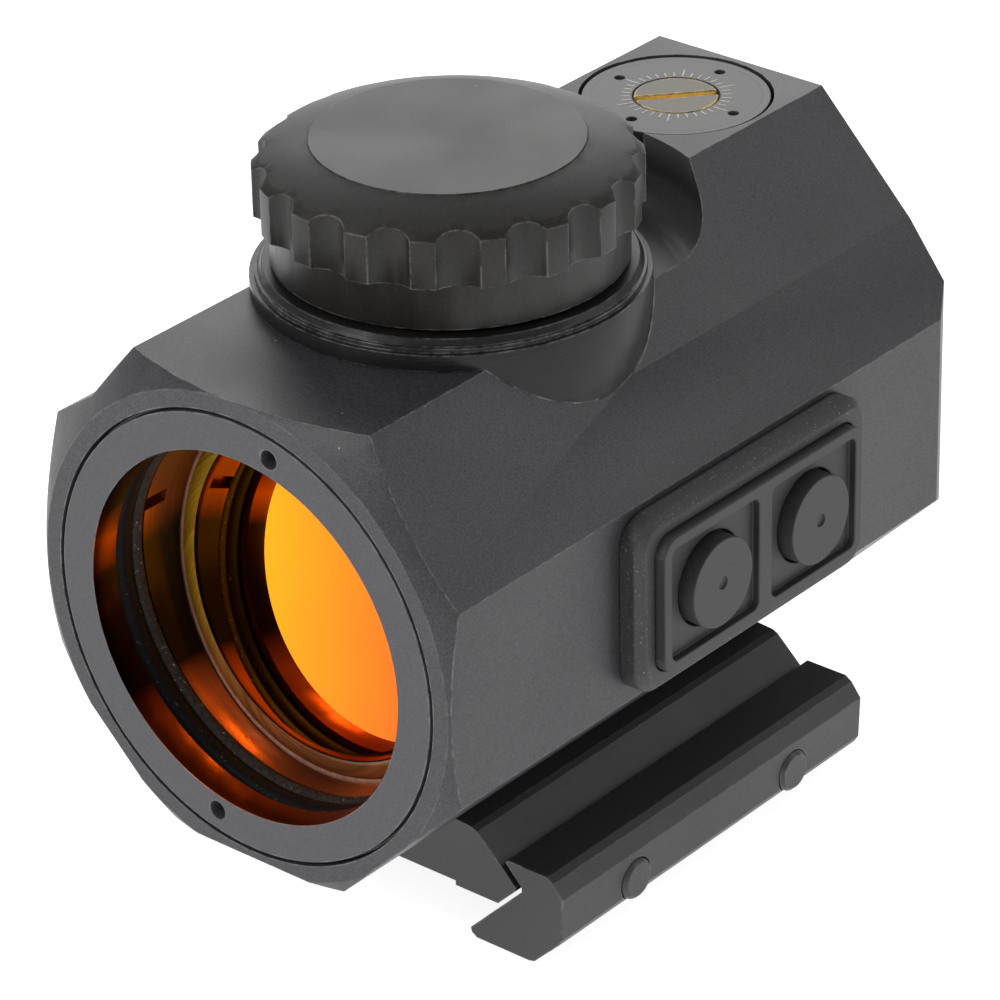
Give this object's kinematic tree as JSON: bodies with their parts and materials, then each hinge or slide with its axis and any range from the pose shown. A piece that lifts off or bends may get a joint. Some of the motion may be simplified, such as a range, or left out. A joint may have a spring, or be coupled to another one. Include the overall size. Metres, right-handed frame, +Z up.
{
  "type": "red dot sight",
  "caption": "Tube red dot finder with coated front lens, screw-on battery cap, two-button keypad, elevation and windage screws and a rail clamp.",
  "frame": {"origin": "middle of the rail seat face, half-way between the two cross bolts", "axes": "+X to the keypad side, +Y along the line of sight from the front lens towards the eye, +Z up, away from the rail"},
  "size_m": [0.0455, 0.0625, 0.0607],
  "materials": {
    "body_anodised": "matte black hard anodised, fine bead blast",
    "cap_anodised": "matte black hard anodised, fine bead blast",
    "mount_anodised": "matte black hard anodised",
    "turned_black": "black anodised with fine turning marks",
    "dial_black": "black anodised with light index marks",
    "bezel_black": "matte black with fine speckle",
    "keypad_rubber": "matte black silicone rubber",
    "seal_rubber": "grainy black rubber",
    "coated_glass": "optical glass with an orange reflecting coating",
    "clear_glass": "clear coated optical glass",
    "spring_steel": "plain steel",
    "cell_steel": "plain steel",
    "contact_gold": "gold plated",
    "board_green": "solder mask",
    "screw_brass": "turned brass",
    "screw_black": "black oxide steel",
    "bolt_black": "black oxide steel",
    "led_die": "clear red"
  },
  "bodies": {
    "housing": {"housing": "body_anodised", "front_locking_ring": "body_anodised", "front_seal_ring": "seal_rubber", "lens_spacer": "turned_black", "objective_lens": "coated_glass", "rear_window": "clear_glass", "rear_locking_ring": "body_anodised", "tube_spring": "spring_steel", "turret_base": "body_anodised", "coin_cell": "cell_steel", "cell_contact": "contact_gold", "circuit_board": "board_green", "switch_domes": "spring_steel", "keypad_bezel": "bezel_black", "keypad_rubber": "keypad_rubber", "elevation_dial": "dial_black", "windage_dial": "dial_black", "mount_base": "mount_anodised", "mount_screws": "screw_black"},
    "gimbal": {"gimbal_ring": "turned_black"},
    "tube": {"optic_tube": "turned_black", "emitter_block": "turned_black", "emitter_led": "led_die"},
    "cap_spring_stack": {"cap_contact": "contact_gold", "cap_spring": "spring_steel"},
    "battery_cap": {"battery_cap": "cap_anodised", "cap_o_ring": "seal_rubber"},
    "button_front": {"button_front": "keypad_rubber"},
    "button_rear": {"button_rear": "keypad_rubber"},
    "elevation_screw": {"elevation_screw": "screw_brass"},
    "elevation_pusher": {"elevation_pusher": "spring_steel"},
    "windage_screw": {"windage_screw": "screw_brass"},
    "windage_pusher": {"windage_pusher": "spring_steel"},
    "clamp_bar": {"clamp_bar": "mount_anodised"},
    "cross_bolt_front": {"cross_bolt_front": "bolt_black"},
    "cross_bolt_rear": {"cross_bolt_rear": "bolt_black"}
  },
  "joints": [
    {"name": "elevation_turn", "type": "hinge", "parent": "housing", "child": "elevation_screw", "pos_m": [0, 0.0194, 0.048], "axis": [0, 0, 1], "range_deg": [-360, 360]},
    {"name": "elevation_pusher_slide", "type": "slide", "parent": "housing", "child": "elevation_pusher", "axis": [0, 0, -1], "range_m": [-0.0005, 0.0005]},
    {"name": "tube_pitch", "type": "hinge", "parent": "housing", "child": "gimbal", "pos_m": [0, -0.0141, 0.0246], "axis": [-1, 0, 0], "range_deg": [-0.86, 0.86]},
    {"name": "windage_turn", "type": "hinge", "parent": "housing", "child": "windage_screw", "pos_m": [-0.021, 0.0194, 0.0246], "axis": [-1, 0, 0], "range_deg": [-360, 360]},
    {"name": "windage_pusher_slide", "type": "slide", "parent": "housing", "child": "windage_pusher", "axis": [1, 0, 0], "range_m": [-0.0005, 0.0005]},
    {"name": "tube_yaw", "type": "hinge", "parent": "gimbal", "child": "tube", "pos_m": [0, -0.0141, 0.0246], "axis": [0, 0, -1], "range_deg": [-0.86, 0.86]},
    {"name": "button_front_press", "type": "slide", "parent": "housing", "child": "button_front", "axis": [-1, 0, 0], "range_m": [0, 0.00035], "stiffness_N_per_m": 4000, "springref_m": -0.0001},
    {"name": "button_rear_press", "type": "slide", "parent": "housing", "child": "button_rear", "axis": [-1, 0, 0], "range_m": [0, 0.00035], "stiffness_N_per_m": 4000, "springref_m": -0.0001},
    {"name": "battery_cap_lift", "type": "slide", "parent": "housing", "child": "cap_spring_stack", "axis": [0, 0, 1], "range_m": [0, 0.00225]},
    {"name": "battery_cap_turn", "type": "hinge", "parent": "cap_spring_stack", "child": "battery_cap", "pos_m": [0, -0.008, 0.05], "axis": [0, 0, 1], "range_deg": [0, 1080]},
    {"name": "clamp_slide", "type": "slide", "parent": "housing", "child": "clamp_bar", "axis": [1, 0, 0], "range_m": [0, 0.0021]},
    {"name": "cross_bolt_front_turn", "type": "hinge", "parent": "housing", "child": "cross_bolt_front", "pos_m": [0, -0.01, -0.0002], "axis": [-1, 0, 0], "range_deg": [0, 1080]},
    {"name": "cross_bolt_rear_turn", "type": "hinge", "parent": "housing", "child": "cross_bolt_rear", "pos_m": [0, 0.01, -0.0002], "axis": [-1, 0, 0], "range_deg": [0, 1080]}
  ],
  "couplings": [
    {"joint": "elevation_turn", "follows": "elevation_pusher_slide", "rad_per_m": 12566},
    {"joint": "tube_pitch", "follows": "elevation_pusher_slide", "rad_per_m": 29.851},
    {"joint": "windage_turn", "follows": "windage_pusher_slide", "rad_per_m": 12566},
    {"joint": "tube_yaw", "follows": "windage_pusher_slide", "rad_per_m": 29.851},
    {"joint": "battery_cap_turn", "follows": "battery_cap_lift", "rad_per_m": 8377.6},
    {"joint": "cross_bolt_front_turn", "follows": "clamp_slide", "rad_per_m": 8976},
    {"joint": "cross_bolt_rear_turn", "follows": "clamp_slide", "rad_per_m": 8976}
  ]
}
